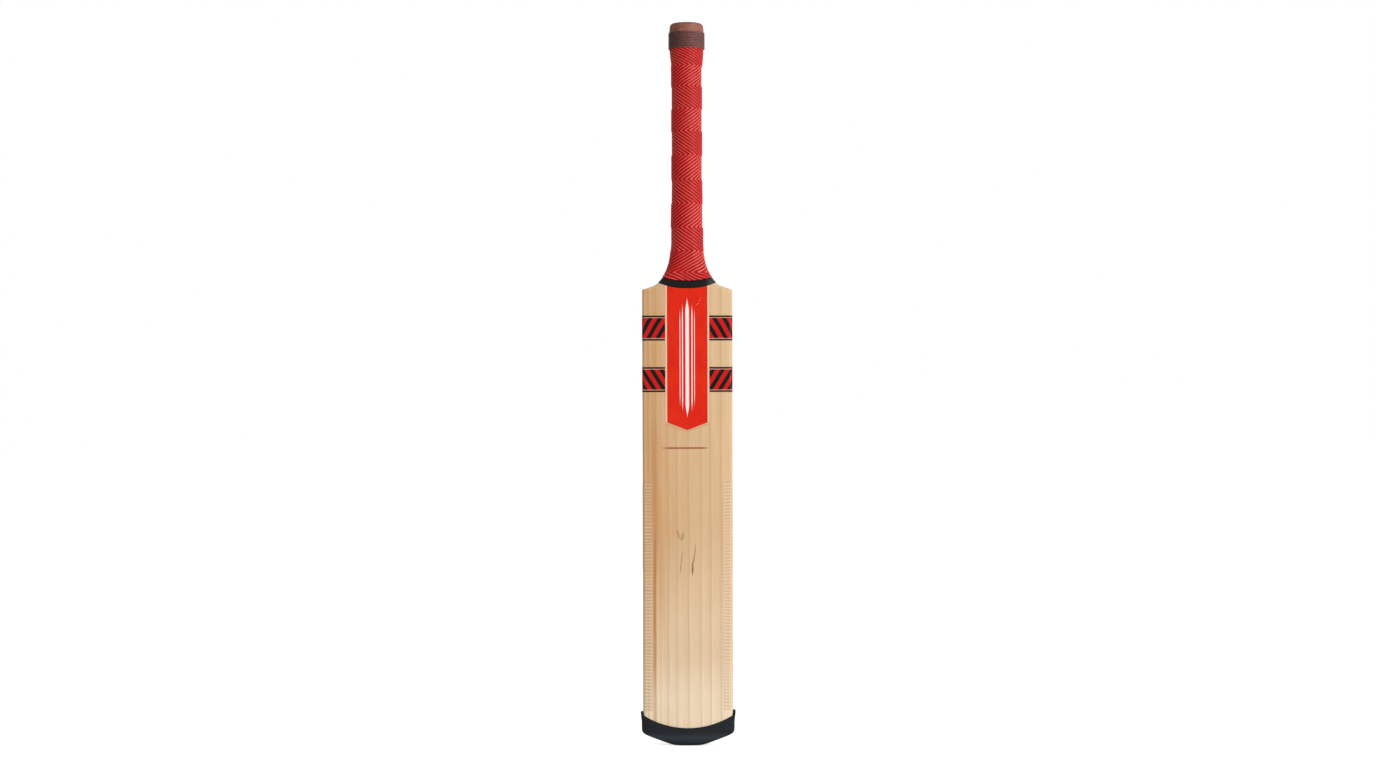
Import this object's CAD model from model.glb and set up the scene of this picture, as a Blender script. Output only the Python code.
# %% [markdown]
# # A cricket bat, dressed for its portrait
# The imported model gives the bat's solids in one frame: Z up the bat, the face looking along -Y,
# the origin under the middle of the toe guard. Every piece made here is drawn in that frame, so
# nothing has to be fitted afterwards. We load it first, and keep its box, which the dressed bat
# must not outgrow.

# %% Load the frame
import math

import bpy
import numpy as np
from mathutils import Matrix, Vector


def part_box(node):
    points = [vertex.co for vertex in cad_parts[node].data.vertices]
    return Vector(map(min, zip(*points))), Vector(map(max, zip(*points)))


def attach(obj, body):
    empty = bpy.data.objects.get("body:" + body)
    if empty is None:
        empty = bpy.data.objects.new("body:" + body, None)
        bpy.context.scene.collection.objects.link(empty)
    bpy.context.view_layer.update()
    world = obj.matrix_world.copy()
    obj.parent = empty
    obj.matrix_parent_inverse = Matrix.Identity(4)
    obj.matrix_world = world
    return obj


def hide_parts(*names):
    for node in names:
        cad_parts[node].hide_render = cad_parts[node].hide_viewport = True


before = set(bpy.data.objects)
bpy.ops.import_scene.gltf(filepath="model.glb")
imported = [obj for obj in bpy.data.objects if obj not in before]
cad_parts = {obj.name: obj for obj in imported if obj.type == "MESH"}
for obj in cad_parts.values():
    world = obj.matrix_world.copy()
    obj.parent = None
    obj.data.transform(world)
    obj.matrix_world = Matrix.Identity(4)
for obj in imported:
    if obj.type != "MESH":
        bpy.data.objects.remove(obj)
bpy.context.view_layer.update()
MM = 0.001

# %% [markdown]
# ## The camera
# The picture was taken square on, from about three metres, with the lens level with the middle of
# the bat. A long lens so far off flattens the bat a little, but the rings at the top are still seen
# slightly from below. The picture is 1376 pixels wide and one pixel is 1.189 mm at the bat, so the
# focal length follows from the distance. A hair of roll matches the way the bat leans in the frame.

# %% The camera
PICTURE_W = 1376
MM_PER_PIXEL = 1.189
SENSOR_W = 36.0
CAMERA_FAR = 2.9
CAMERA_UP = 0.42846
CAMERA_ACROSS = 0.0008
ROLL = math.radians(0.15)

camera = bpy.data.objects.new("camera", bpy.data.cameras.new("camera"))
camera.data.sensor_width = SENSOR_W
camera.data.lens = SENSOR_W * CAMERA_FAR / (PICTURE_W * MM_PER_PIXEL * MM)
camera.data.clip_end = 50
camera.location = (CAMERA_ACROSS, -CAMERA_FAR, CAMERA_UP)
camera.rotation_euler = (math.radians(90), ROLL, 0)
bpy.context.scene.collection.objects.link(camera)
bpy.context.scene.camera = camera
bpy.context.scene.view_settings.view_transform = "Standard"
print("lens:", round(camera.data.lens, 1), "mm")

# %% [markdown]
# ## Shader maths as Python
# A material is a graph of nodes. A small class that wraps a socket and overloads the operators lets
# us write `1 - mask * 0.4` and have the Math nodes appear. Everything else goes through one method
# that makes a node, gives it its settings, and fills its sockets with numbers or links.

# %% A socket that does arithmetic


class Wire:
    """A number that comes out of a node, for use in Python expressions."""

    def __init__(self, graph, socket):
        self.graph = graph
        self.socket = socket

    def maths(self, operation, *inputs):
        sockets = dict(enumerate(inputs))
        return self.graph.node("ShaderNodeMath", {"operation": operation}, sockets)

    def __add__(self, other):
        return self.maths("ADD", self, other)

    def __radd__(self, other):
        return self.maths("ADD", other, self)

    def __sub__(self, other):
        return self.maths("SUBTRACT", self, other)

    def __rsub__(self, other):
        return self.maths("SUBTRACT", other, self)

    def __mul__(self, other):
        return self.maths("MULTIPLY", self, other)

    def __rmul__(self, other):
        return self.maths("MULTIPLY", other, self)

    def __truediv__(self, other):
        return self.maths("DIVIDE", self, other)

    def at_least(self, other):
        return self.maths("MAXIMUM", self, other)

    def at_most(self, other):
        return self.maths("MINIMUM", self, other)

    def __abs__(self):
        return self.maths("ABSOLUTE", self)

    def sine(self):
        return self.maths("SINE", self)

    def fraction(self):
        return self.maths("FRACT", self)

    def step(self, low, high):
        """0 below low, 1 above high, and a smooth climb between. Low may be the larger."""
        if low > high:
            return 1 - self.step(high, low)
        settings = {"interpolation_type": "SMOOTHSTEP", "clamp": True}
        sockets = {"Value": self, "From Min": low, "From Max": high}
        return self.graph.node("ShaderNodeMapRange", settings, sockets)

    def bell(self, middle, width):
        """1 at the middle and 0 from width away, on both sides."""
        return abs(self - middle).step(width, 0)


class Graph:
    """The nodes of one material, or of the world."""

    def __init__(self, tree):
        self.tree = tree

    def node(self, kind, settings=None, sockets=None, output=0):
        """Makes a node: its settings first, then the values or links of its sockets."""
        node = self.tree.nodes.new(kind)
        for name, value in (settings or {}).items():
            if name == "stops":
                self.set_stops(node.color_ramp, value)
            else:
                setattr(node, name, value)
        self.fill(node, sockets or {})
        return Wire(self, node.outputs[output])

    def fill(self, node, sockets):
        for name, value in sockets.items():
            if isinstance(value, Wire):
                self.tree.links.new(value.socket, node.inputs[name])
            else:
                node.inputs[name].default_value = value

    @staticmethod
    def set_stops(ramp, stops):
        while len(ramp.elements) < len(stops):
            ramp.elements.new(1.0)
        for element, (place, tone) in zip(ramp.elements, stops):
            element.position = place
            element.color = (tone, tone, tone, 1.0)


# %% [markdown]
# ## A finish
# Each finish is one Principled material. Its colour, roughness and relief are worked out from the
# place on the bat and fill the shader's sockets at the end. Places come from object coordinates,
# which are metres in the bat's own frame because every piece sits at the origin, so a grain line or
# a seam can be put exactly where it is on the bat. Colours are written as a picture shows them,
# red, green and blue from 0 to 255.

# %% The finish class


def linear(channel):
    """A channel of a colour, 0 to 255, turned into the linear value that shaders use."""
    c = channel / 255
    return c / 12.92 if c <= 0.04045 else ((c + 0.055) / 1.055) ** 2.4


class Finish(Graph):
    """A Principled material under construction. Its place is X, Y and Z in millimetres."""

    def __init__(self, name, specular):
        self.material = bpy.data.materials.new(name)
        self.material.use_nodes = True
        super().__init__(self.material.node_tree)
        self.specular = specular
        self.point = self.node("ShaderNodeTexCoord", output=3)
        split = self.node("ShaderNodeSeparateXYZ", None, {0: self.point}).socket.node
        self.place = [Wire(self, axis) * (1 / MM) for axis in split.outputs]

    def times(self, a, b):
        return self.node("ShaderNodeVectorMath", {"operation": "MULTIPLY"}, {0: a, 1: b})

    def stored(self, name):
        """A number that is stored on the mesh, point by point."""
        return self.node("ShaderNodeAttribute", {"attribute_name": name}, None, 2)

    def noise(self, stretch, detail=2.0, roughness=0.5):
        """Noise from 0 to 1. Stretch is how many patches there are per millimetre along X, Y, Z."""
        scaled = self.times(self.point, tuple(s / MM for s in stretch))
        sockets = {"Vector": scaled, "Scale": 1.0, "Detail": detail, "Roughness": roughness}
        return self.node("ShaderNodeTexNoise", None, sockets)

    def mix(self, factor, a, b):
        """A colour between a and b, which are (red, green, blue) or wires."""
        settings = {"data_type": "RGBA", "clamp_factor": True}
        sockets = {0: factor, 6: self.colour(a), 7: self.colour(b)}
        return self.node("ShaderNodeMix", settings, sockets, 2)

    @staticmethod
    def colour(value):
        return value if isinstance(value, Wire) else (*map(linear, value), 1.0)

    def shade(self, colour, amount):
        """The colour made darker or lighter: amount is a wire, and 1 leaves it as it is."""
        grey = self.node("ShaderNodeCombineXYZ", None, {0: amount, 1: amount, 2: amount})
        return self.times(colour, grey)

    def done(self, colour, roughness, relief=None, depth_mm=0.0):
        """Fills the shader's sockets. Relief runs from 0 to 1 and stands for depth_mm."""
        sockets = {"Base Color": colour, "Roughness": roughness}
        sockets["Specular IOR Level"] = self.specular
        if relief:
            bump = {"Height": relief, "Distance": depth_mm * MM, "Strength": 1.0}
            sockets["Normal"] = self.node("ShaderNodeBump", None, bump)
        self.fill(self.tree.nodes["Principled BSDF"], sockets)
        return self.material


# %% [markdown]
# ## The willow
# Blades are sawn from cleft willow so that the growth rings run straight up the face, eight or nine
# of them across it. A ring reads as a broad pale stripe that darkens towards a fine line and starts
# again. The place of each line is chosen by hand, a ramp across X turns the lines into a tone, and
# a slow noise along Z makes them waver. The heartwood side, at the left, is warmer and carries one
# orange-brown streak. Fine stretched noise adds the fibre, and a few flecks are pin knots.

# %% Grain lines, streaks and flecks
GRAIN_LINES = [  # X of each line in millimetres, and how dark it is
    (-45.6, 0.8), (-37.0, 0.6), (-30.8, 0.45), (-22.5, 0.75), (-11.9, 0.7),
    (1.8, 0.75), (16.5, 0.65), (28.0, 0.8), (40.5, 0.85),
]
FACE_HALF = 56.0  # half of what the ramp spans
STROKES = [  # X and Z of each fleck's upper end, of its lower end, half its width, how dark it is
    (-11.9, 256.5, -11.2, 245.5, 1.1, 0.6), (-5.0, 255.0, -5.6, 243.5, 1.5, 0.4),
    (-6.6, 251.5, -7.4, 240.5, 1.3, 0.4), (-10.2, 250.0, -8.6, 243.0, 0.9, 0.4),
    (-6.2, 231.0, -7.8, 215.0, 0.8, 0.65), (-7.5, 220.0, -8.9, 203.0, 0.85, 0.65),
    (9.2, 240.0, 8.4, 225.0, 0.8, 0.65), (8.9, 230.5, 5.7, 213.0, 0.95, 0.8),
    (6.0, 219.0, 5.3, 200.0, 1.5, 0.95),
]
RULE_Z = 352.6


def grain_stops():
    stops = [(0.0, 0.1)]
    for x, dark in GRAIN_LINES:
        at = 0.5 + x / (2 * FACE_HALF)
        stops += [(at - 0.03, 0.3 * dark), (at - 0.004, dark), (at + 0.005, 0.0)]
    return stops


def stroke_mask(x, z, stroke):
    """1 on a fleck, which is a thin straight stroke with pointed ends."""
    x_high, z_high, x_low, z_low, half_width, dark = stroke
    along = (z_high - z) / (z_high - z_low)
    width = (along * (1 - along) * (4 * half_width)).at_least(0.001)
    off = abs(x - x_high - along * (x_low - x_high))
    return (off / width).step(1.3, 0.1) * dark


# %% The willow's colour


def willow_colour(finish):
    """The colour of the willow at the shaded point, and the tone of its fibre."""
    x, y, z = finish.place
    grain_x = x + (finish.noise((0.004, 0.004, 0.006)) - 0.5) * 3.4
    across_ramp = grain_x / (2 * FACE_HALF) + 0.5
    rings = finish.node("ShaderNodeValToRGB", {"stops": grain_stops()}, {0: across_ramp})
    fibre = finish.noise((1.5, 1.5, 0.02), 3.0, 0.6)
    bands = finish.noise((0.32, 0.32, 0.004), 3.0, 0.6)
    cloud = finish.noise((0.05, 0.05, 0.012), 3.0, 0.6)
    speck = finish.noise((0.8, 0.8, 0.45), 2.0, 0.6)

    heart = finish.mix(x.step(-54, 34), (219, 178, 131), (225, 189, 146))
    paler = z.step(270, 110) * 0.5 + z.step(115, 45) * 0.55
    low = finish.mix(paler, heart, (247, 225, 193))
    blush = cloud.step(0.45, 0.75) * x.step(20, -20) * z.step(180, 260) * 0.3
    warm = x.bell(-32, 9) * z.step(90, 190) * z.step(340, 270) * (0.12 + cloud * 0.35)
    low = finish.mix(warm.at_least(blush), low, (208, 146, 88))
    wide_streak = grain_x.bell(-39.5, 8.5) * z.step(150, 290) * (z.step(430, 330) * 0.3 + 0.22)
    fine_streak = grain_x.bell(-39.4, 3.8) * grain_x.step(-36.4, -37.8) * z.step(300, 230)
    fine_streak = fine_streak * (0.3 + cloud * 0.9) * (z.step(30, 130) * 0.5 + 0.5)
    high_streak = grain_x.bell(-46.5, 3.6) * z.step(250, 330) * (0.08 + bands * 0.4)
    streak = wide_streak.at_least(fine_streak).at_least(high_streak)
    streaked = finish.mix(streak, low, (186, 118, 50))
    ringed = finish.mix(rings * (0.02 + bands * 0.66), streaked, (176, 122, 70))
    tone = 0.86 + (fibre - 0.5) * 0.16 + (bands - 0.5) * 0.22 + cloud * 0.16 + (speck - 0.5) * 0.14
    colour = finish.shade(ringed, tone + 0.06)
    ragged = x + (speck - 0.5) * 1.3
    on_face = y.step(16, 8) * 0.85
    for stroke in STROKES:
        colour = finish.mix(stroke_mask(ragged, z, stroke) * on_face, colour, (104, 68, 32))
    return colour, fibre


def make_willow():
    finish = Finish("willow", 0.3)
    colour, fibre = willow_colour(finish)
    x, y, z = finish.place
    facing = finish.node("ShaderNodeNewGeometry", output=1)
    upward = finish.node("ShaderNodeSeparateXYZ", None, {0: facing}, 2)
    sky_lit = upward.step(0.12, 0.7) * z.step(530, 538) * 0.6
    colour = finish.mix(sky_lit, colour, (244, 226, 196))
    fade = x.step(-33, -20) * x.step(27, 17)
    front = y.step(0, -4)
    rule = z.bell(RULE_Z, 1.9) * fade * front
    under = z.bell(RULE_Z - 1.9, 1.0) * x.bell(6, 22) * front
    colour = finish.mix(under * 0.8, colour, (244, 176, 146))
    colour = finish.mix(rule * 0.95, colour, (146, 64, 36))
    return finish.done(colour, 0.42 + fibre * 0.14, fibre, 0.05)


willow = make_willow()
print("willow nodes:", len(willow.node_tree.nodes))

# %% [markdown]
# ## The edge tape
# The lower edges carry a clear tape with a net of glass threads in it. The willow shows through, a
# little paler, and the threads catch the light. The tape repeats the willow's colour and lays the
# threads over it, one crosswise thread every 3.9 mm and a few lengthwise ones. The threads' relief
# is in the mesh, where the same spacing is used.

# %% The tape's finish
THREAD_PITCH = 3.9
THREAD_ROWS = 2.9


def make_tape():
    finish = Finish("edge_tape", 0.3)
    x, y, z = finish.place
    wood, fibre = willow_colour(finish)
    tint = finish.mix(x.step(-30, 30), (202, 162, 124), (230, 200, 166))
    film = finish.mix(0.3, wood, tint)
    drift = finish.noise((0.02, 0.02, 0.03)) * 6
    cross = ((z + drift) * (2 * math.pi / THREAD_PITCH)).sine() * 0.5 + 0.5
    along = ((abs(x) - y * 0.5) * (2 * math.pi / THREAD_ROWS)).sine() * 0.5 + 0.5
    worn = finish.noise((0.5, 0.5, 0.35), 3.0, 0.6).step(0.3, 0.7)
    plain = 0.35 + finish.noise((0.02, 0.02, 0.018), 2.0).step(0.35, 0.65) * 0.65
    gaps = cross.step(0.45, 0.0) * 0.8 + along.step(0.3, 0.0) * 0.35
    threads = cross.step(0.55, 1.0) * (0.25 + worn * 0.4) + along.step(0.7, 1.0) * 0.1
    netted = finish.mix(gaps * (0.16 + worn * 0.26) * plain, film, (166, 120, 80))
    colour = finish.mix(threads * plain, netted, (240, 214, 184))
    return finish.done(colour, 0.42, fibre, 0.02)


tape = make_tape()

# %% [markdown]
# ## The labels
# The labels are printed film. The pennant down the middle of the face is red with a pale border
# and plain white pinstripes. The side labels have black rules with a pale hairline inside each, and
# between them slanted red and black bars, which lean the other way on the other side and run on
# round the edge. A stripe is the distance from its middle line, tested against its half width.

# %% The pennant's print
PENNANT_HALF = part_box("face_label")[1].x / MM
PENNANT_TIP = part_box("face_label")[0].z / MM
PENNANT_SIDE_Z = 380.5
PENNANT_SLOPE = (PENNANT_SIDE_Z - PENNANT_TIP) / PENNANT_HALF
PENNANT_BORDER = 2.1
PRINT_EDGE = 0.12  # how soft the edges of the print are
RED_TIP = 373.9
RED_SLOPE = 0.375
PINSTRIPES = [(0.0, 2.1, 0.0), (5.6, 0.6, 7.0), (8.6, 0.35, 13.0)]  # |X|, half width, shorter by
STRIPES_LOW = 388.0
STRIPES_HIGH = 531.0
STRIPE_POINT = 16.0
# X and Z of each worn nick at the label's top, and its length
NICKS = [(11.4, 522.5, 1.3), (13.2, 523.6, 1.0), (14.6, 526.8, 1.6), (15.8, 529.4, 1.0)]


def make_pennant():
    finish = Finish("face_label", 0.22)
    x, _, z = finish.place
    mottle = finish.noise((0.09, 0.09, 0.05), 3.0)
    red = finish.mix(mottle, (214, 20, 0), (238, 44, 2))
    side_gap = PENNANT_HALF - abs(x)
    red_gap = (z - RED_TIP - abs(x) * RED_SLOPE) * math.cos(math.atan(RED_SLOPE))
    tip_gap = z - PENNANT_TIP - abs(x) * PENNANT_SLOPE
    inner_gap = (side_gap - PENNANT_BORDER).at_most(red_gap)
    inside = inner_gap.step(-PRINT_EDGE, PRINT_EDGE)
    stripes = 0
    for middle, half_width, shorter in PINSTRIPES:
        ends = (z - (STRIPES_LOW + shorter)).at_most((STRIPES_HIGH - shorter) - z)
        pointed = ends.step(0, STRIPE_POINT) * half_width - abs(abs(x) - middle)
        stripes = pointed.step(-PRINT_EDGE, PRINT_EDGE) * ends.step(0, 1) + stripes
    nick = 0
    for x_at, z_at, length in NICKS:
        along = (x - x_at) * 0.5 + (z - z_at) * 0.87
        off = (x - x_at) * 0.87 - (z - z_at) * 0.5
        nick = off.bell(0, 0.45) * along.bell(0, length) + nick
    printed = finish.mix(stripes, red, (250, 236, 234))
    printed = finish.mix(nick * 0.8, printed, (252, 190, 170))
    printed = finish.mix(inner_gap.step(0.75, 0.1) * 0.55, printed, (120, 12, 4))
    rim = finish.mix(tip_gap.step(5, 1.5), (247, 198, 168), (224, 176, 134))
    rim = finish.mix(tip_gap.bell(0.45, 0.4) * 0.7, rim, (176, 84, 58))
    colour = finish.mix(inside, rim, printed)
    scuffs = finish.noise((0.5, 0.5, 0.12), 4.0, 0.7)
    return finish.done(colour, 0.3 + scuffs * 0.16)


# %% The side labels' print
BAR_PITCH = 11.4
BAR_LEAN = 0.62
BAR_EDGE = 0.012  # as a share of the pitch
BAR_BEND = 1.2  # the bars run on round the edge from this far behind the front
RULE_H = 1.95
RULE_EDGE = 0.1
HAIRLINE_H = 0.85


def make_side_print(level):
    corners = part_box(f"side_label_{level}_left")
    low, high = (corner.z / MM for corner in corners)
    bend_y = corners[0].y / MM + BAR_BEND
    finish = Finish(f"side_label_{level}", 0.18)
    x, y, z = finish.place
    lean = BAR_LEAN if level == "upper" else -BAR_LEAN
    round_edge = abs(x) + (y - bend_y).at_least(0)
    bar = ((round_edge + (z - low) * lean) / BAR_PITCH).fraction()
    red_part = bar.step(0.5 - BAR_EDGE, 0.5 + BAR_EDGE) * bar.step(1, 1 - 2 * BAR_EDGE)
    joint = bar.bell(0.5, 0.03) + bar.step(0.03, 0.0) + bar.step(0.97, 1.0)
    mottle = finish.noise((0.09, 0.09, 0.09))
    red = finish.mix(mottle, (198, 10, 10), (216, 22, 14))
    black = finish.mix(mottle, (12, 10, 10), (24, 21, 20))
    bars = finish.mix(red_part, black, red)
    bars = finish.mix(joint * 0.35, bars, (150, 82, 74))
    edge_gap = (z - low).at_most(high - z)
    below, beyond = RULE_H - RULE_EDGE, RULE_H + RULE_EDGE
    hairline = edge_gap.step(below, beyond) * edge_gap.step(beyond + HAIRLINE_H, below + HAIRLINE_H)
    ruled = finish.mix(edge_gap.step(beyond, below), bars, (8, 6, 6))
    colour = finish.mix(hairline, ruled, (214, 158, 132))
    scuffs = finish.noise((0.4, 0.4, 0.2), 4.0, 0.7)
    return finish.done(colour, 0.28 + scuffs * 0.14)


pennant = make_pennant()
side_prints = {level: make_side_print(level) for level in ("upper", "lower")}
print("label finishes:", 1 + len(side_prints))

# %% [markdown]
# ## Rubber, leather, cord and cane
# The grip is soft rubber: worn pale along the crests of its ribs and deep red in the grooves. How
# high a rib stands and how much it is polished are stored on the mesh as attributes, so that the
# colour follows the real relief. The guard is matte, the neck band has a satin skin, the cap is
# grained leather, and the whipping is waxed cord whose twist shows. The cane under it all is pale
# yellow with dark pores.

# %% The grip's finish


def make_grip_rubber():
    finish = Finish("grip_rubber", 0.25)
    crest = finish.stored("crest")
    polish = finish.stored("sheen")
    mottle = finish.noise((0.12, 0.12, 0.12), 3.0)
    pale = polish * 0.5 + 0.5 + (mottle - 0.5) * 0.5
    groove = finish.mix(pale, (155, 1, 3), (172, 8, 10))
    ridge = finish.mix(pale, (224, 46, 42), (252, 114, 106))
    colour = finish.mix(crest.step(0.15, 0.8), groove, ridge)
    return finish.done(colour, 0.52 - crest * 0.1, finish.noise((2.2, 2.2, 2.2), 2.0), 0.03)


# %% The other finishes


def make_guard_rubber():
    finish = Finish("guard_rubber", 0.25)
    x, _, z = finish.place
    grain = finish.noise((0.5, 0.5, 0.5), 4.0, 0.7)
    cloud = finish.noise((0.05, 0.05, 0.09), 2.0)
    lower = z.bell(9.5, 7.0) * (0.35 + cloud * 0.8)
    dark = finish.mix(cloud, (20, 25, 29), (28, 34, 39))
    dark = finish.shade(dark, x.step(-56, -36) * 0.4 + 0.6)
    worn = finish.mix(lower, dark, (48, 56, 64))
    colour = finish.mix(grain.step(0.5, 0.9) * 0.35, worn, (50, 60, 70))
    return finish.done(colour, 0.5 + grain * 0.2, grain, 0.08)


def make_band_rubber():
    finish = Finish("band_rubber", 0.22)
    x, _, _ = finish.place
    grain = finish.noise((0.5, 0.5, 1.6), 3.0, 0.6)
    rubbed = (x.bell(30, 9) * 0.55 + x.bell(-31, 6) * 0.12) * grain.step(0.3, 0.7)
    black = finish.mix(grain, (7, 6, 6), (20, 18, 18))
    colour = finish.mix(rubbed, black, (108, 106, 104))
    return finish.done(colour, 0.28 + grain * 0.2, grain, 0.1)


def make_cap_leather():
    finish = Finish("cap_leather", 0.25)
    x, _, _ = finish.place
    grain = finish.noise((1.9, 1.9, 1.9), 3.0, 0.7)
    patch = finish.noise((0.2, 0.2, 0.3), 2.0)
    pebbles = finish.node("ShaderNodeTexVoronoi", None, {"Vector": finish.point, "Scale": 1300.0})
    base = finish.mix(grain.step(0.3, 0.7), (124, 72, 60), (158, 102, 86))
    base = finish.mix(patch.step(0.4, 0.7) * 0.5, base, (172, 118, 98))
    flecked = finish.mix(grain.step(0.58, 0.72) * 0.55, base, (214, 166, 146))
    flecked = finish.shade(flecked, x.step(-20, 14) * 0.32 + 0.78)
    colour = finish.mix(grain.step(0.38, 0.28) * 0.5, flecked, (84, 44, 36))
    return finish.done(colour, 0.44 + grain * 0.2, grain * 0.6 + pebbles * 0.4, 0.09)


def make_cord_wax():
    finish = Finish("whipping_cord", 0.25)
    x, _, _ = finish.place
    twist = finish.stored("twist")
    fluff = finish.noise((0.7, 0.7, 1.2), 3.0, 0.6)
    base = finish.mix(fluff.step(0.25, 0.75), (88, 50, 46), (142, 98, 92))
    base = finish.shade(base, x.step(-20, 20) * 0.62 + 0.56)
    colour = finish.mix(twist.step(0.35, 0.0) * 0.4, base, (60, 34, 31))
    return finish.done(colour, 0.42 + fluff * 0.2, fluff, 0.05)


SPLICE_LOW_Z = 418.0
SPLICE_TIP = 2.0  # half the width of the V at its tip
SPLICE_SLOPE = 12.4 / 172  # how much wider that half is with each millimetre up
CANE_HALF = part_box("cane_back_centre")[1].x / MM


def make_cane():
    finish = Finish("cane", 0.35)
    x, _, z = finish.place
    fibre = finish.noise((2.6, 2.6, 0.02), 3.0, 0.6)
    pores = finish.noise((2.2, 2.2, 0.05), 1.0).step(0.58, 0.68)
    base = finish.mix(fibre, (212, 172, 98), (236, 202, 134))
    base = finish.mix(pores * 0.6, base, (150, 104, 52))
    v_gap = (z - SPLICE_LOW_Z) * SPLICE_SLOPE + SPLICE_TIP - abs(x)
    glue = v_gap.step(0.7, 0.3) + abs(x).bell(CANE_HALF, 0.35)
    colour = finish.mix(glue * 0.7, base, (96, 62, 34))
    return finish.done(colour, 0.5, fibre, 0.05)


def make_spring_rubber():
    finish = Finish("spring_rubber", 0.3)
    grain = finish.noise((1.2, 1.2, 1.2), 3.0)
    colour = finish.mix(grain, (52, 44, 40), (76, 66, 60))
    return finish.done(colour, 0.7)


def make_twine():
    finish = Finish("twine", 0.3)
    turns = (finish.place[2] * (2 * math.pi / 0.9)).sine() * 0.5 + 0.5
    colour = finish.mix(turns, (150, 132, 98), (206, 190, 154))
    return finish.done(colour, 0.7, turns, 0.2)


grip_rubber = make_grip_rubber()
guard_rubber = make_guard_rubber()
band_rubber = make_band_rubber()
cap_leather = make_cap_leather()
cord_wax = make_cord_wax()
inner = {"cane_": make_cane(), "spring_": make_spring_rubber(), "handle_binding": make_twine()}
print("finishes:", len(bpy.data.materials))

# %% [markdown]
# ## The blade's form, as functions
# At each height a section runs from a nearly flat face, round tight front corners, down the edges,
# and over a hollowed back to the spine. The sections follow the formulas of the solid model, so
# that a finer mesh of the same form drops exactly into its place. Lengths are in millimetres, and
# become metres when a mesh is made.

# %% Outline and depth of the blade
BLADE_W = 106.5
SHOULDER_Z = 541.0
SWELL_Z = 215.0
NECK_TOP_Z = 590.0
GRIP_SPLIT_Z = 606.0
TOE_WOOD_Z = 3.6
TOE_FLAT_HALF = 11.0
TOE_BASE_HALF = 16.9
TOE_BEND = 0.8
TOE_SLOPE = math.tan(math.radians(20))
TOE_CORNER = 4.0  # how softly the climb runs into the side
TOE_EDGE_R = 2.0
NECK_R = 15.9
NECK_HALF_DEPTH = 15.9
SHOULDER_CORNER = 2.5
FLARE, FLARE_H = 27.5, 16.2
QUICK_FLARE, QUICK_FLARE_H = BLADE_W / 2 - SHOULDER_CORNER - NECK_R - FLARE, 3.0
CAMBER = 1.6
BOW = 6.0
FACE_CORNER = 3.5
BACK_CORNER = 8.0
WALL_LEFT = 0.3
CENTRE_T = (22.0, 58.0, 38.0)  # depth on the centre line at the toe, the swell and the shoulders
EDGE_T = (15.0, 35.0, 18.0)  # the same at the edges


def mix(a, b, k):
    return a + (b - a) * k


def smooth(t):
    t = np.clip(t, 0, 1)
    return t * t * (3 - 2 * t)


def round_in(r, depth):
    """How far a rounding of radius r has drawn in, at that depth from its tangent point."""
    d = np.clip(depth, 0, r)
    return r - np.sqrt(r * r - d * d)


def toe_half_w(z, half, low):
    """Half of the width of a toe: flat base, soft bend, a 20 degree climb, and a soft corner."""
    up = TOE_BEND * np.log(np.expm1(np.clip(z - low, 0.01, 200) / TOE_BEND))
    climb = np.maximum(TOE_FLAT_HALF, TOE_BASE_HALF + up / TOE_SLOPE)
    return -TOE_CORNER * np.logaddexp(-climb / TOE_CORNER, -half / TOE_CORNER)


def half_w(z):
    z = np.asarray(z, float)
    up = z - SHOULDER_Z
    neck = NECK_R + FLARE * np.exp(-up / FLARE_H) + QUICK_FLARE * np.exp(-up / QUICK_FLARE_H)
    corner = BLADE_W / 2 - round_in(SHOULDER_CORNER, up + SHOULDER_CORNER)
    shoulder = np.minimum(corner, neck)
    return np.where(z < SHOULDER_Z / 2, toe_half_w(z, BLADE_W / 2, TOE_WOOD_Z), shoulder)


def oval(z):
    """0 on the blade and 1 at the top of the neck."""
    return smooth((z - SHOULDER_Z + 10) / (NECK_TOP_Z - SHOULDER_Z + 10))


def turned(z):
    """0 at the top of the neck and 1 where the grip has become round."""
    return smooth((z - NECK_TOP_Z) / (GRIP_SPLIT_Z - NECK_TOP_Z))


def depth(z, toe, swell, shoulder):
    z = np.asarray(z, float)
    share = np.where(z < SWELL_Z, z / SWELL_Z, (SHOULDER_Z - z) / (SHOULDER_Z - SWELL_Z))
    return mix(np.where(z < SWELL_Z, toe, shoulder), swell, smooth(share))


def face_line(z):
    u = np.minimum(1, np.asarray(z, float) / SHOULDER_Z)
    return mix(-CENTRE_T[0] / 2, -CENTRE_T[2] / 2, u) + BOW * 4 * u * (1 - u)


# %% Front and back of a section


def ridge(s):
    """The back from the spine, 0, to the edge, 1."""
    top = 0.17
    drop = math.sqrt(1 + top * top) - top
    return 0.25 * (1 + np.cos(np.pi * s)) + 0.5 * (1 - (np.sqrt(s * s + top * top) - top) / drop)


def corner_w(z, a, r):
    share = mix(0.8, 0.97, turned(z))
    return mix(np.minimum(r, 0.5 * a), share * a, oval(z))


def curl(x, a, w):
    reach = np.clip((np.abs(x) - a + w) / w, 0, 1)
    return 1 - np.sqrt(1 - reach * reach)


def front_y(x, z, a, g=0.0):
    corner = mix(FACE_CORNER, NECK_HALF_DEPTH - WALL_LEFT, oval(z)) + g
    face = mix(face_line(z), -NECK_HALF_DEPTH, oval(z)) - g
    camber = CAMBER * (1 - oval(z)) * (x / a) ** 2
    return face + camber + corner * curl(x, a, corner_w(z, a, FACE_CORNER))


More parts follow.
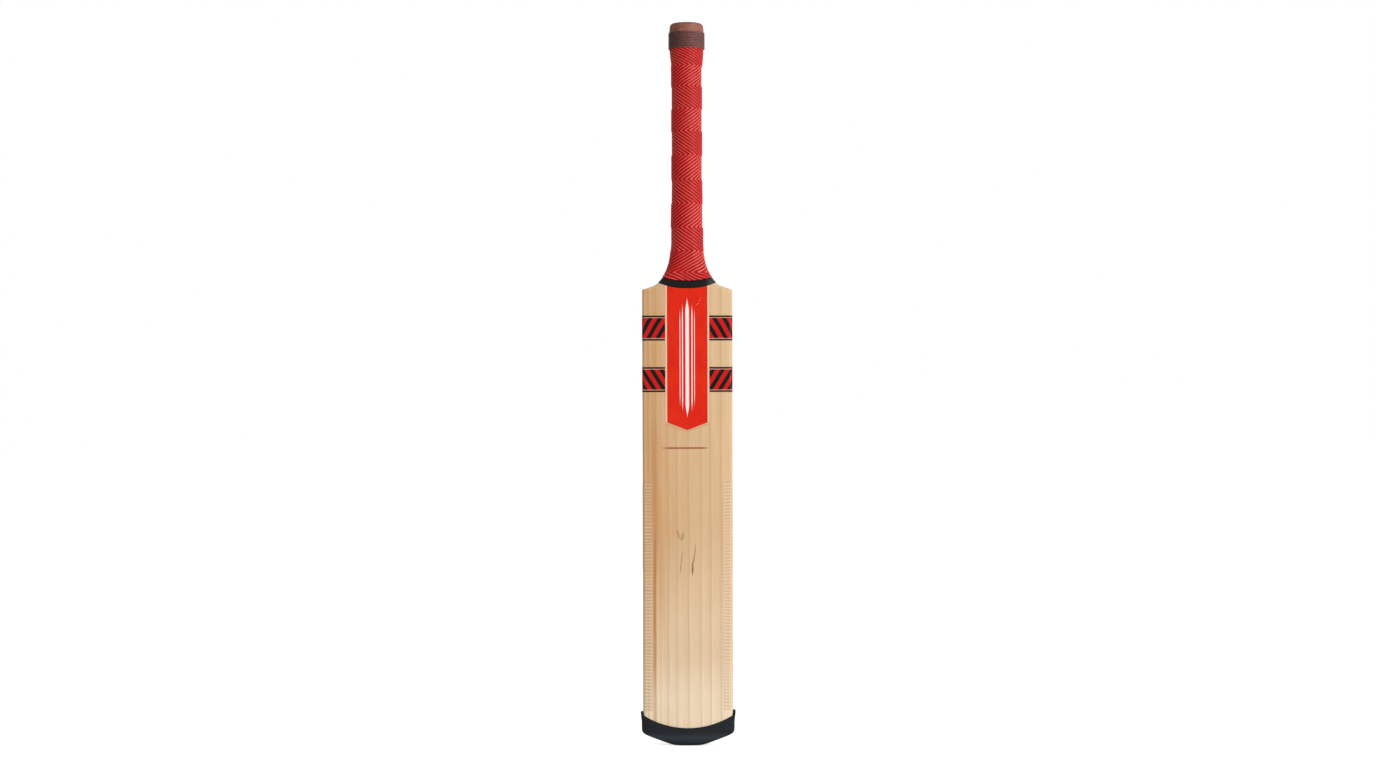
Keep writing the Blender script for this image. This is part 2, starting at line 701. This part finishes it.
def back_y(x, z, a, g=0.0):
    edge_t = depth(z, *EDGE_T)
    spine = mix(face_line(z) + depth(z, *CENTRE_T), NECK_HALF_DEPTH, oval(z))
    edge = mix(face_line(z) + edge_t, NECK_HALF_DEPTH, oval(z))
    corner = mix(np.minimum(6.0, 0.35 * edge_t), NECK_HALF_DEPTH - WALL_LEFT, oval(z)) + g
    hollow = mix(edge, spine, ridge(np.minimum(1, np.abs(x) / a)))
    return hollow + g - corner * curl(x, a, corner_w(z, a, BACK_CORNER))


def across(share, a, w, flat=0.62):
    """X at a share of the way from the middle, 0, to the side, 1: the last part rounds a corner."""
    size = np.abs(share)
    on_flat = (a - w) * (np.minimum(size, flat) / flat) ** 1.2
    round_corner = w * np.sin(np.pi / 2 * np.clip((size - flat) / (1 - flat), 0, 1))
    return np.sign(share) * (on_flat + round_corner)


def section(z, a, g, count):
    """One closed section as rows of x, y, z: along the face from left to right, then back."""
    shares = np.linspace(-1, 1, count)
    z = np.broadcast_to(z, shares.shape)
    halves = []
    for surface, corner in ((front_y, FACE_CORNER), (back_y, BACK_CORNER)):
        x = across(shares, a, corner_w(z, a, corner))
        halves.append(np.stack([x, surface(x, z, a, g), z], 1))
    return np.concatenate([halves[0], halves[1][::-1]])


print("half width at the neck:", round(float(half_w(NECK_TOP_Z)), 2), "mm")

# %% [markdown]
# ## From rings of points to a mesh
# Every lofted piece is a stack of rings with the same number of points. Neighbouring rings are
# joined with quads. A cup or a plug is closed at its ends, and a sleeve joins its last ring to its
# first. Shading is smooth except where faces meet at a clear edge.

# %% Mesh helpers
SHARP = math.radians(32)


def soften(mesh, smooth_angle):
    mesh.shade_smooth()
    mesh.set_sharp_from_angle(angle=smooth_angle)


def make_piece(name, points, faces, material, smooth_angle=SHARP):
    mesh = bpy.data.meshes.new(name)
    mesh.from_pydata([tuple(p) for p in np.asarray(points) * MM], [], faces)
    mesh.validate()
    mesh.materials.append(material)
    soften(mesh, smooth_angle)
    piece = bpy.data.objects.new(name, mesh)
    bpy.context.scene.collection.objects.link(piece)
    return piece


def loft(name, rings, material, tube=False, smooth_angle=SHARP):
    """A solid through rings. Each ring has two halves, out and back, like a section."""
    n = len(rings[0])
    count = len(rings)
    faces = []
    for i in range(count if tube else count - 1):
        low, high = i * n, (i + 1) % count * n
        faces += [(low + j, low + (j + 1) % n, high + (j + 1) % n, high + j) for j in range(n)]
    if not tube:
        last = (count - 1) * n
        for j in range(n // 2 - 1):
            k = n - 1 - j
            faces.append((k, k - 1, j + 1, j))
            faces.append((last + j, last + j + 1, last + k - 1, last + k))
    return make_piece(name, np.concatenate(rings), faces, material, smooth_angle)


def polar(radius, angle, z):
    """Points at a radius and an angle round the handle."""
    return np.stack([radius * np.cos(angle), radius * np.sin(angle), z], 1)


def store(piece, name, values):
    """Keeps a number for each point of the mesh, which the finish reads."""
    attribute = piece.data.attributes.new(name, "FLOAT", "POINT")
    attribute.data.foreach_set("value", np.concatenate(values).astype(np.float32))


def seat(piece, slot, *nodes):
    """The piece rides on the bat, takes a slot's finish, and stands for its solids."""
    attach(piece, "root")
    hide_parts(*nodes)
    print(piece.name, "faces:", len(piece.data.polygons))


# %% [markdown]
# ## The blade
# The blade is lofted with fine steps where the form turns fast, at the toe and the shoulders. The V
# of the splice is then cut out with a boolean, as the saw does it, so that the tongue of the handle
# shows on the back, edge to edge with the willow.

# %% Loft the blade and cut the splice
SECTION_POINTS = 61


def toe_round(z):
    """How far the wood's lower edge is rounded in at a height."""
    return round_in(TOE_EDGE_R, TOE_WOOD_Z + TOE_EDGE_R - z)


def wood_section(z):
    return section(z, float(half_w(z)), -toe_round(z), SECTION_POINTS)


def cut_splice(piece):
    top = NECK_TOP_Z + 5
    half = SPLICE_TIP + (top - SPLICE_LOW_Z) * SPLICE_SLOPE
    outline = [
        (-SPLICE_TIP, SPLICE_LOW_Z), (SPLICE_TIP, SPLICE_LOW_Z), (half, top), (-half, top),
    ]
    points = [(x, y, z) for y in (-60, 80) for x, z in outline]
    faces = [(0, 1, 2, 3), (7, 6, 5, 4), (0, 4, 5, 1), (1, 5, 6, 2), (2, 6, 7, 3), (3, 7, 4, 0)]
    wedge = make_piece("splice_wedge", points, faces, willow)
    cut = piece.modifiers.new("splice", "BOOLEAN")
    cut.operation = "DIFFERENCE"
    cut.solver = "EXACT"
    cut.object = wedge
    bpy.context.view_layer.update()
    depsgraph = bpy.context.evaluated_depsgraph_get()
    cut_mesh = bpy.data.meshes.new_from_object(piece.evaluated_get(depsgraph))
    piece.modifiers.clear()
    piece.data = cut_mesh
    soften(cut_mesh, SHARP)
    bpy.data.objects.remove(wedge)


blade_heights = np.concatenate([
    TOE_WOOD_Z + np.linspace(0, 1, 16) ** 1.6 * 30,
    np.linspace(40, SHOULDER_Z - 14, 70),
    np.linspace(SHOULDER_Z - 11, SHOULDER_Z - 2.7, 12),
    np.linspace(SHOULDER_Z - 2.5, SHOULDER_Z + 0.5, 19),
    np.linspace(SHOULDER_Z + 0.8, SHOULDER_Z + 14, 28),
    np.linspace(SHOULDER_Z + 15.5, NECK_TOP_Z, 20),
])
blade = loft("blade_willow", [wood_section(z) for z in blade_heights], willow)
cut_splice(blade)
seat(blade, "willow", "blade")

# %% [markdown]
# ## The grip
# The grip is a moulded sleeve. Nineteen ribs climb round it, and every 28 mm or so they turn back
# the other way, which makes the chevrons. A rib is a wave in a phase that adds the angle round the
# handle to a zigzag in height, so that the ribs meet exactly at each turn. Their pitch changes a
# little from band to band, because the rubber was stretched on, and every other band shines paler
# at its right. The relief is real geometry, to catch the light.

# %% The grip's rib pattern
GRIP_R = 18.2
GRIP_TOP_R = 20.15
GRIP_STRAIGHT_Z = 665.0
GRIP_TAPER = 1.0
BORE_R = 16.25
CAP_Z = 845.4
WHIPPING_Z = CAP_Z - 19.5
FLARE_Z = CAP_Z - 53.0
SLEEVE_T = GRIP_R - NECK_HALF_DEPTH
RIB_STARTS = 19
RIB_DEPTH = 0.95
TURNS_Z = [535.0, 560.7, 585.9, 614.0, 642.2, 670.5, 699.9, 728.1, 754.5, 781.5, 806.0, 850.0]
RIB_PITCH = [3.7, 3.7, 4.1, 4.1, 4.1, 4.1, 3.9, 3.95, 3.8, 3.75, 3.3]  # from the foot to the top
BAND_SIGNS = np.where(np.arange(len(RIB_PITCH)) % 2 == 1, 1.0, -1.0)
SWAY = 0.35  # how far the rubber leans, to the right in one band and to the left in the next
BAND_LOW_Z = SHOULDER_Z + 0.5
BAND_HIGH_Z = SHOULDER_Z + 9.8
ROUND = RIB_STARTS * 14
DIRECTIONS = np.linspace(-np.pi, np.pi, ROUND, endpoint=False)


def rib_phase(z):
    """The phase of the ribs at a height: it climbs and falls again between the turns."""
    rise = np.diff(TURNS_Z) * -BAND_SIGNS * 2 * np.pi / np.array(RIB_PITCH)
    return np.interp(z, TURNS_Z, np.concatenate([[0], np.cumsum(rise)]))


def alternate(z, blend):
    """-1 in the lowest band of ribs, 1 in the next and so on, with a soft change at each turn."""
    edges = zip(TURNS_Z[1:-1], np.diff(BAND_SIGNS))
    return BAND_SIGNS[0] + sum(smooth((z - edge) / blend + 0.5) * jump for edge, jump in edges)


def lean(z):
    """How far the rubber leans to the right at a height, in millimetres."""
    return -SWAY * alternate(z, 4) * smooth((z - 575) / 20) * smooth((WHIPPING_Z - z) / 20)


def sheen(angle, z):
    """How far the crests are polished pale, from -1 to 1. Every other band shines at its right."""
    return mix(-0.5, 1.3 * np.cos(angle) - 0.4, alternate(z, 1.2) * 0.5 + 0.5)


def rib_height(angle, z):
    """1 on the crest of a rib and 0 in the groove, which is the wider of the two."""
    wave = 0.5 + 0.5 * np.cos(RIB_STARTS * angle + rib_phase(z))
    return smooth((wave - 0.3) / 0.6)


def radius_round(z, a, g):
    """Radius of the neck's section in each direction of the circle."""
    outline = section(z, a, g, 181)
    angles = np.arctan2(outline[:, 1], outline[:, 0])
    order = np.argsort(angles)
    radii = np.hypot(outline[:, 0], outline[:, 1])
    return np.interp(DIRECTIONS, angles[order], radii[order], period=2 * np.pi)


def sleeve_r(z):
    z = np.asarray(z, float)
    bell = smooth((z - FLARE_Z) / (WHIPPING_Z - FLARE_Z)) ** 1.6
    taper = GRIP_TAPER * np.maximum(0, (GRIP_STRAIGHT_Z - z) / (GRIP_STRAIGHT_Z - GRIP_SPLIT_Z))
    return mix(GRIP_R, GRIP_TOP_R, bell) + taper


# %% Radius of the grip and of the neck under it
FOOT_R = float(sleeve_r(GRIP_SPLIT_Z))
FOOT_HEIGHTS = np.linspace(SHOULDER_Z - 0.5, GRIP_SPLIT_Z, 100)


def foot_radii(z):
    half = mix(float(half_w(z)) + SLEEVE_T, FOOT_R, turned(z))
    return radius_round(z, half, mix(SLEEVE_T, FOOT_R - NECK_HALF_DEPTH, turned(z)))


def wood_radii(z):
    return radius_round(z, float(half_w(z)) + 0.05, 0.05)


foot_table = np.array([foot_radii(z) for z in FOOT_HEIGHTS])
wood_table = np.array([wood_radii(z) for z in FOOT_HEIGHTS])


def look_up(table, z):
    """The radius at each direction, where z has one height for each direction."""
    at = np.interp(z, FOOT_HEIGHTS, np.arange(len(FOOT_HEIGHTS)))
    at = np.clip(at, 0, len(FOOT_HEIGHTS) - 1.001)
    low = at.astype(int)
    here = np.arange(ROUND)
    return mix(table[low, here], table[low + 1, here], at - low)


def grip_radius(z):
    return np.where(z < GRIP_SPLIT_Z, look_up(foot_table, z), sleeve_r(z))


def bore_radius(z):
    return np.where(z < NECK_TOP_Z, look_up(wood_table, z), BORE_R)


# %% The edges of the neck band
BAND_CLIMB = 4.4
BAND_REACH = 28.0
BAND_CURVE = 2.3


def climb(x):
    """How far an edge of the band has climbed at x from the middle of the face."""
    return BAND_CLIMB * (np.abs(x) / BAND_REACH) ** BAND_CURVE


def band_edge(low_z):
    """The edge's height in each direction. The neck narrows as the edge climbs, so we iterate."""
    z = np.full(ROUND, low_z)
    for _ in range(20):
        x = look_up(wood_table, z) * np.cos(DIRECTIONS)
        z = mix(z, low_z + climb(x), 0.6)
    return z


BAND_LOW = band_edge(BAND_LOW_Z)
BAND_HIGH = band_edge(BAND_HIGH_Z)
print("the band climbs", round(float(BAND_LOW.max() - BAND_LOW.min()), 1), "mm")

# %% Build the grip
GRIP_ROWS = 640
BORE_ROWS = 60
GRIP_LIP_H, GRIP_LIP_IN = 0.7, 0.6  # the foot's edge is drawn in under the neck band


def make_grip():
    low, high = BAND_HIGH + 0.02, CAP_Z - 0.05
    rings, crests, sheens = [], [], []
    for t in np.linspace(0, 1, GRIP_ROWS):
        z = mix(low, high, t)
        ribs = rib_height(DIRECTIONS, z)
        lip = smooth((z - low) / GRIP_LIP_H)
        relief = RIB_DEPTH * (1 - ribs) * lip + GRIP_LIP_IN * (1 - lip)
        sway = np.stack([lean(z), 0 * z, 0 * z], 1)
        rings.append(polar(grip_radius(z) - relief, DIRECTIONS, z) + sway)
        crests.append(ribs)
        sheens.append(sheen(DIRECTIONS, z))
    for t in np.linspace(1, 0, BORE_ROWS):
        z = mix(low, high, t)
        rings.append(polar(bore_radius(z), DIRECTIONS, z))
        crests.append(np.zeros(ROUND))
        sheens.append(np.zeros(ROUND))
    grip = loft("grip_sleeve", rings, grip_rubber, tube=True)
    store(grip, "crest", crests)
    store(grip, "sheen", sheens)
    return grip


seat(make_grip(), "grip_rubber", "grip")

# %% [markdown]
# ## The neck band
# A thin black rubber band covers the grip's lower edge. It is level over the face and climbs round
# the sides of the neck. Its upper edge lies level with the grip, it thins downwards, and both edges
# are rounded, so the profile is drawn as a curve and swept round the neck.

# %% Build the neck band
BAND_T = (0.9, 2.0)  # how thick it is at its lower edge and at its upper edge
BAND_FIT = 0.02


def make_band():
    outer = []
    for t in np.linspace(0, 1, 25):
        z = mix(BAND_LOW, BAND_HIGH, t)
        rounded = (1 - abs(2 * t - 1) ** 7) ** 0.5
        radius = look_up(wood_table, z) + mix(*BAND_T, t) * rounded + BAND_FIT
        outer.append(polar(radius, DIRECTIONS, z))
    heights = [mix(BAND_LOW, BAND_HIGH, t) for t in np.linspace(1, 0, 9)]
    lining = [polar(look_up(wood_table, z), DIRECTIONS, z) for z in heights]
    return loft("neck_ring", outer + lining, band_rubber, tube=True)


seat(make_band(), "band_rubber", "neck_band")

# %% [markdown]
# ## The whipping
# Waxed cord is wound tight round the top of the grip, turn beside turn. It is one unbroken length,
# a tube that is flattened a little against the rubber. As whoever winds it does, each turn is laid
# level and steps up to the next at the back, so that both ends of the winding are level too. A
# second, quicker spiral runs round the tube itself, which is the twist of the cord: it is carved
# into the surface and stored for the colour.

# %% Build the whipping
CORD_TURNS = 10
CORD_RISE = (CAP_Z - WHIPPING_Z) / CORD_TURNS
CORD_HALF_H = CORD_RISE / 2 - 0.01
CORD_HALF_T = 0.72
TURN_STEPS = 288
CORD_SIDES = 14
TWIST_MARKS = 48
STEP_SHARE = 0.12


def make_whipping():
    around = np.arange(CORD_SIDES) * 2 * np.pi / CORD_SIDES
    centre_r = GRIP_TOP_R + 0.05 + CORD_HALF_T
    rings, twists = [], []
    for turn in np.arange(CORD_TURNS * TURN_STEPS + 1) / TURN_STEPS:
        angle = turn * 2 * np.pi + np.pi / 2
        row = min(int(turn), CORD_TURNS - 1)
        step_up = smooth((turn - row - 1 + STEP_SHARE) / STEP_SHARE) if row < CORD_TURNS - 1 else 0
        tuck = min(1.0, min(turn, CORD_TURNS - turn) / 0.05 + 0.2)
        strand = 0.5 + 0.5 * np.cos(2 * around + turn * 2 * np.pi * TWIST_MARKS)
        carve = (0.93 + 0.07 * strand) * tuck
        r = centre_r - CORD_HALF_T * (1 - tuck) + CORD_HALF_T * carve * np.cos(around)
        z = WHIPPING_Z + CORD_RISE * (row + step_up + 0.5) + CORD_HALF_H * carve * np.sin(around)
        rings.append(polar(r, angle, z))
        twists.append(strand)
    cord = loft("whipping_cord", rings, cord_wax, smooth_angle=math.radians(80))
    store(cord, "twist", twists)
    return cord


seat(make_whipping(), "whipping_cord", "top_whipping")

# %% [markdown]
# ## The end cap
# The cap is a disc of leather moulded over the end of the handle. Its wall leans in slightly, the
# shoulder is round, and the top is a shallow dome. A lathe profile gives that, and a radius that is
# slightly uneven keeps it from looking machined.

# %% Build the end cap
CAP_FOOT_R = 20.5
CAP_SHOULDER_R = 19.9
CAP_TOP_Z = 857.0
CAP_ROUND = 4.5
CAP_LIP = 0.5
CAP_DOME = 0.35
CAP_SIDES = 128
SOCKET_R = 15.6
SOCKET_Z = CAP_Z + 4.45


def arc(r, z, radius, angles):
    """Points of a rounding about a centre, at angles that count up from straight outwards."""
    return [(r + radius * math.cos(t), z + radius * math.sin(t)) for t in angles]


def cap_profile():
    foot_r = CAP_FOOT_R - CAP_LIP
    foot = arc(foot_r, CAP_Z + CAP_LIP, CAP_LIP, np.array([0.5, 1.1, 1.57]) - math.pi / 2)
    centre_r, centre_z = CAP_SHOULDER_R - CAP_ROUND, CAP_TOP_Z - CAP_DOME - CAP_ROUND
    shoulder = arc(centre_r, centre_z, CAP_ROUND, np.linspace(0.0, math.pi / 2 - 0.06, 14))
    dome = [(centre_r * k, CAP_TOP_Z - CAP_DOME * k * k) for k in (0.97, 0.8, 0.6, 0.4, 0.2, 0.04)]
    socket = [(0.3, SOCKET_Z), (SOCKET_R, SOCKET_Z), (SOCKET_R, CAP_Z), (foot_r, CAP_Z)]
    return socket + foot + shoulder + dome


def make_cap():
    angles = np.linspace(0, 2 * np.pi, CAP_SIDES, endpoint=False)
    rings = []
    for r, z in cap_profile():
        uneven = 1 + 0.0022 * np.sin(3 * angles + z * 0.3) + 0.0016 * np.sin(7 * angles + 1.3)
        rings.append(polar(r * uneven, angles, np.full(CAP_SIDES, z)))
    return loft("cap_leather", rings, cap_leather)


seat(make_cap(), "cap_leather", "end_cap")

# %% [markdown]
# ## The toe guard
# The guard is a rubber cup. Its flat base, climbing sides and rounded corners come from the toe
# formula, its upper edge is an arc over the face, and at each side a lip stands up. The wall turns
# over in a small round at the rim and comes back down inside as a lining, so the mesh is closed.

# %% Build the toe guard
GUARD_WALL = 1.9
GUARD_FIT = 0.05
GUARD_ROUND = 4.0
GUARD_LIP, GUARD_LIP_Z, GUARD_LIP_H = 1.2, 26.0, 14.0
GUARD_LIP_X, GUARD_LIP_BLEND = 52.3, 0.85  # where the lips begin to stand up
GUARD_EDGE_Z, GUARD_EDGE_R = 20.8, 100.0
GUARD_SIDE_Z = (39.8, 41.4)  # left and right, as it was pressed on
GUARD_RIM_H, GUARD_RIM_R = 0.022, 0.9  # the rim's round: a share of the height, and its depth
GUARD_POINTS = 101


def guard_top(x):
    arc_z = GUARD_EDGE_Z + round_in(GUARD_EDGE_R, np.abs(x))
    lip = smooth((np.abs(x) - GUARD_LIP_X) / GUARD_LIP_BLEND)
    return mix(arc_z, np.where(x < 0, *GUARD_SIDE_Z), lip)


def guard_ring(t, inset, inside):
    shares = np.linspace(-1, 1, GUARD_POINTS)
    nominal = across(shares, BLADE_W / 2, FACE_CORNER)
    low = TOE_WOOD_Z - GUARD_FIT if inside else 0.0
    z = mix(low, guard_top(nominal), t)
    if inside:
        return section(z, half_w(z) + GUARD_FIT, GUARD_FIT - toe_round(z), GUARD_POINTS)
    growth = GUARD_WALL - inset - round_in(GUARD_ROUND, GUARD_ROUND - z)
    half = toe_half_w(z, BLADE_W / 2 + GUARD_WALL - inset, 0.0)
    half = half + GUARD_LIP * smooth((z - GUARD_LIP_Z) / GUARD_LIP_H)
    return section(z, half, growth, GUARD_POINTS)


def make_guard():
    outside = [guard_ring(t, 0.0, False) for t in np.linspace(0, 1, 56)[:-1] ** 1.7]
    rim = [
        guard_ring(1 - GUARD_RIM_H * (1 - math.sin(t)), GUARD_RIM_R * (1 - math.cos(t)), False)
        for t in np.linspace(0, math.pi / 2, 6)
    ]
    inside = [guard_ring(t, 0.0, True) for t in np.linspace(1, 0, 24) ** 1.15]
    return loft("guard_rubber", outside + rim + inside, guard_rubber)


seat(make_guard(), "guard_rubber", "toe_guard")

# %% [markdown]
# ## Labels and edge tape
# Labels and tape follow the face and wrap round its corners onto the edges. Each is a grid of
# points on the blade's own form, lifted by its thickness, with an underside a hair above the wood.
# The tape's threads stand up by less than a tenth of a millimetre, so its grid is fine.

# %% A skin over the face and the edge
GLUE = 0.05
SIDES = {"left": -1, "right": 1}
FLAT_STEPS, EDGE_STEPS = 12, 9


def rim_path(z, x_from, wrap, g):
    """Points from x_from on the face, round the front corner, and back along the edge."""
    a = float(half_w(z)) + g
    w = float(corner_w(z, a, FACE_CORNER))
    x = np.concatenate([
        np.linspace(x_from, a - w, FLAT_STEPS, endpoint=False),
        a - w + w * np.sin(np.linspace(0, np.pi / 2, EDGE_STEPS)),
    ])
    y = front_y(x, z, a, g)
    edge_to = mix(front_y(a, z, a, g), back_y(a, z, a, 0.0), wrap)
    edge_y = np.linspace(y[-1], edge_to, EDGE_STEPS)[1:]
    x = np.append(x, np.full(len(edge_y), a))
    y = np.append(y, edge_y)
    return np.stack([x, y, np.full(len(x), z)], 1)


def rim_skin(name, word, heights, x_from, wrap, thick, material, relief=None):
    rings = []
    for z in heights:
        lift = relief(z) if relief else 0.0
        top = rim_path(z, x_from, wrap, GLUE + thick + lift)
        ring = np.concatenate([top, rim_path(z, x_from, wrap, GLUE)[::-1]])
        if SIDES[word] < 0:
            ring = ring[::-1] * (-1, 1, 1)
        rings.append(ring)
    return loft(name, rings, material)


# %% The side labels
LABEL_T = 0.25
LABEL_FROM = 26.15
LABEL_WRAP = 0.7  # how much of the edge is covered

for level, film in side_prints.items():
    for word in SIDES:
        node = f"side_label_{level}_{word}"
        heights = np.linspace(*(corner.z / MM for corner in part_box(node)), 30)
        skin = (f"print_{level}_{word}", word, heights, LABEL_FROM, LABEL_WRAP, LABEL_T, film)
        seat(rim_skin(*skin), "label_dark", node)

# %% The edge tape
TAPE_T = 0.14
TAPE_FROM = 41.9
TAPE_WRAP = 0.98
TAPE_Z = {"left": (41.0, 310.6), "right": (41.8, 311.9)}


def thread_relief(z):
    return 0.07 * max(0.0, math.sin(z * 2 * math.pi / THREAD_PITCH)) ** 1.5


for word in SIDES:
    heights = np.arange(*TAPE_Z[word], THREAD_PITCH / 8)
    skin = (f"tape_{word}", word, heights, TAPE_FROM, TAPE_WRAP, TAPE_T, tape, thread_relief)
    seat(rim_skin(*skin), "edge_tape", f"edge_tape_{word}")

# %% The pennant
PENNANT_COLUMNS = 41
PENNANT_TIP_HALF = 0.4
KNEE, KNEE_Z = 0.94, 530.0  # the share of the rows, and the height, from which they bend


def pennant_row(t, g):
    """One row of points. T runs from 0 at the tip to 1 at the band, whose curve the top follows."""
    shares = np.linspace(-1, 1, PENNANT_COLUMNS)
    base_z = mix(PENNANT_TIP, KNEE_Z, min(1.0, t / KNEE))
    widened = min(1.0, (base_z - PENNANT_TIP) / (PENNANT_SIDE_Z - PENNANT_TIP))
    x = shares * mix(PENNANT_TIP_HALF, PENNANT_HALF, widened)
    top = BAND_LOW_Z - 0.06 + climb(x)
    z = mix(base_z, top, max(0.0, (t - KNEE) / (1 - KNEE)))
    a = half_w(z)
    return np.stack([x, front_y(x, z, a, g), z], 1)


def make_pennant_skin():
    spans = ((0, 0.06, 12), (0.07, KNEE, 50), (0.945, 1, 12))
    shares = np.concatenate([np.linspace(*span) for span in spans])
    rings = [
        np.concatenate([pennant_row(t, GLUE + LABEL_T), pennant_row(t, GLUE)[::-1]])
        for t in shares
    ]
    return loft("pennant", rings, pennant)


seat(make_pennant_skin(), "label_red", "face_label")

# %% [markdown]
# ## The handle inside
# The canes, the rubber springs and the twine are right as the solid model has them, so they keep
# their shapes and only take a finish. The canes show on the back, where the tongue fills the V.

# %% Finishes for the handle's own solids
for name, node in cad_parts.items():
    for start, finish in inner.items():
        if name.startswith(start):
            node.data.materials.clear()
            node.data.materials.append(finish)
            print(name, "takes", finish.name)

# %% [markdown]
# ## Floor and light
# The world is white to the camera, and lights the bat evenly from all round. One wide soft lamp in
# front at the right gives the bat its side light, and a weak one at the left fills. A third stands
# behind, for whoever walks round the bat. The floor adds a little light of its own to camera rays
# only, so that it stays white and the toe's shadow still shows.

# %% The floor
FLOOR_HALF = 12.0
FLOOR_GLOW = 0.7


def make_floor():
    material = bpy.data.materials.new("studio_floor")
    material.use_nodes = True
    graph = Graph(material.node_tree)
    graph.tree.nodes.clear()
    white = graph.node("ShaderNodeBsdfDiffuse", None, {"Color": (0.8, 0.8, 0.8, 1)})
    seen = graph.node("ShaderNodeLightPath")
    glow = graph.node("ShaderNodeEmission", None, {"Strength": seen * FLOOR_GLOW})
    both = graph.node("ShaderNodeAddShader", None, {0: white, 1: glow})
    graph.fill(graph.tree.nodes.new("ShaderNodeOutputMaterial"), {"Surface": both})
    corners = [(-1, -1, 0), (1, -1, 0), (1, 1, 0), (-1, 1, 0)]
    return make_piece("floor", np.array(corners) * FLOOR_HALF / MM, [(0, 1, 2, 3)], material)


floor = make_floor()

# %% The world and the lamps
WORLD_LIGHT = 0.45


def make_world():
    world = bpy.data.worlds.new("studio")
    bpy.context.scene.world = world
    world.use_nodes = True
    graph = Graph(world.node_tree)
    seen = graph.node("ShaderNodeLightPath")
    strength = seen * (1 - WORLD_LIGHT) + WORLD_LIGHT
    graph.fill(world.node_tree.nodes["Background"], {"Color": (1, 1, 1, 1), "Strength": strength})


def add_lamp(name, place, target, size, power):
    data = bpy.data.lights.new(name, "AREA")
    data.shape = "RECTANGLE"
    data.size, data.size_y = size
    data.energy = power
    lamp = bpy.data.objects.new(name, data)
    lamp.location = place
    lamp.rotation_euler = (Vector(target) - Vector(place)).to_track_quat("-Z", "Y").to_euler()
    bpy.context.scene.collection.objects.link(lamp)


make_world()
add_lamp("key", (1.7, -1.7, 0.75), (0, 0, 0.42), (0.8, 1.6), 37)
add_lamp("fill", (-1.2, -2.2, 0.5), (0, 0, 0.4), (0.8, 1.6), 5)
add_lamp("back", (-0.5, 2.6, 0.7), (0, 0, 0.4), (0.9, 1.6), 14)
print("lamps:", len(bpy.data.lights))
